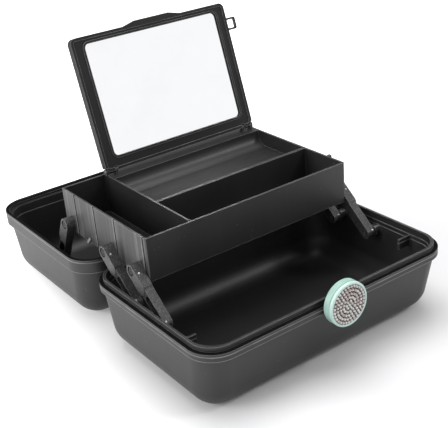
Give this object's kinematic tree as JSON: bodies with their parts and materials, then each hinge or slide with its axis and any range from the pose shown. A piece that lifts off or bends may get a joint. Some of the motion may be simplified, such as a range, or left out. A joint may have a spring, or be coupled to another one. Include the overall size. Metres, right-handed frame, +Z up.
{
  "type": "makeup storage case",
  "caption": "Two-shell makeup case that opens flat: divided tray on parallel swing arms, fold-down mirror, round front latch and a folding carry handle.",
  "frame": {"origin": "centre of the base shell's underside", "axes": "+Z up, -Y to the latch side, +X to the right as seen from the latch"},
  "size_m": [0.32, 0.4659, 0.2974],
  "materials": {
    "case_plastic": "fine-grained charcoal moulding, satin matte",
    "tray_plastic": "charcoal moulding, satin, faint flow lines",
    "arm_plastic": "dark charcoal moulding with a glossier grain",
    "pin_steel": "drawn steel wire",
    "screw_black": "blackened steel",
    "mirror_silver": "flat silvered glass",
    "backing_foam": "thin foam pad",
    "latch_mint": "pale mint satin moulding",
    "latch_plate_dark": "dark plate under the stones",
    "stones": "small faceted grey-pink stones"
  },
  "bodies": {
    "base": {"base_shell": "case_plastic", "hinge_pins": "pin_steel", "base_pivot_pins": "pin_steel", "latch_pin": "pin_steel"},
    "lid": {"lid_shell": "case_plastic", "lid_pivot_studs": "pin_steel", "handle_pins": "pin_steel"},
    "arm_front_left": {"arm_front_left": "arm_plastic"},
    "arm_front_right": {"arm_front_right": "arm_plastic"},
    "arm_rear_left": {"arm_rear_left": "arm_plastic"},
    "arm_rear_right": {"arm_rear_right": "arm_plastic"},
    "tray": {"tray_body": "tray_plastic", "tray_pivot_screws": "screw_black", "tray_pivot_retainers": "screw_black", "mirror_hinge_pins": "pin_steel"},
    "lid_link_left": {"lid_link_left": "arm_plastic"},
    "lid_link_right": {"lid_link_right": "arm_plastic"},
    "mirror": {"mirror_frame": "tray_plastic", "mirror_glass": "mirror_silver", "mirror_backing": "backing_foam"},
    "latch": {"latch_cup": "latch_mint", "latch_face_plate": "latch_plate_dark", "latch_stones": "stones"},
    "handle": {"handle_bail": "case_plastic"}
  },
  "joints": [
    {"name": "lid_hinge", "type": "hinge", "parent": "base", "child": "lid", "pos_m": [0, 0.116, 0.0794], "axis": [1, 0, 0], "range_deg": [0, 180]},
    {"name": "arm_front_left_hinge", "type": "hinge", "parent": "base", "child": "arm_front_left", "pos_m": [0, -0.00646, 0.0628], "axis": [1, 0, 0], "range_deg": [0, 120]},
    {"name": "arm_front_right_hinge", "type": "hinge", "parent": "base", "child": "arm_front_right", "pos_m": [0, -0.00646, 0.0628], "axis": [1, 0, 0], "range_deg": [0, 120]},
    {"name": "arm_rear_left_hinge", "type": "hinge", "parent": "base", "child": "arm_rear_left", "pos_m": [0, 0.04974, 0.0628], "axis": [1, 0, 0], "range_deg": [0, 120]},
    {"name": "arm_rear_right_hinge", "type": "hinge", "parent": "base", "child": "arm_rear_right", "pos_m": [0, 0.04974, 0.0628], "axis": [1, 0, 0], "range_deg": [0, 120]},
    {"name": "tray_hinge", "type": "hinge", "parent": "arm_front_left", "child": "tray", "pos_m": [0, 0.0418, 0.1033], "axis": [1, 0, 0], "range_deg": [-120, 0]},
    {"name": "lid_link_left_hinge", "type": "hinge", "parent": "tray", "child": "lid_link_left", "pos_m": [0, 0.1842, 0.1053], "axis": [1, 0, 0], "range_deg": [0, 221.2]},
    {"name": "lid_link_right_hinge", "type": "hinge", "parent": "tray", "child": "lid_link_right", "pos_m": [0, 0.1842, 0.1053], "axis": [1, 0, 0], "range_deg": [0, 221.2]},
    {"name": "mirror_hinge", "type": "hinge", "parent": "tray", "child": "mirror", "pos_m": [0, 0.193, 0.1465], "axis": [1, 0, 0], "range_deg": [0, 107.4]},
    {"name": "latch_hinge", "type": "hinge", "parent": "base", "child": "latch", "pos_m": [0, -0.113, 0.061], "axis": [1, 0, 0], "range_deg": [-2.4, 30]},
    {"name": "handle_hinge", "type": "hinge", "parent": "lid", "child": "handle", "pos_m": [0, 0.214, 0.0055], "axis": [1, 0, 0], "range_deg": [-90, 0]}
  ],
  "couplings": [
    {"joint": "arm_front_left_hinge", "follows": "lid_hinge", "ratio": 0.66667},
    {"joint": "arm_front_right_hinge", "follows": "lid_hinge", "ratio": 0.66667},
    {"joint": "arm_rear_left_hinge", "follows": "lid_hinge", "ratio": 0.66667},
    {"joint": "arm_rear_right_hinge", "follows": "lid_hinge", "ratio": 0.66667},
    {"joint": "tray_hinge", "follows": "lid_hinge", "ratio": -0.66667},
    {"joint": "lid_link_left_hinge", "follows": "lid_hinge", "ratio": 1.2289},
    {"joint": "lid_link_right_hinge", "follows": "lid_hinge", "ratio": 1.2289},
    {"joint": "mirror_hinge", "follows": "lid_hinge", "ratio": 0.59667}
  ]
}
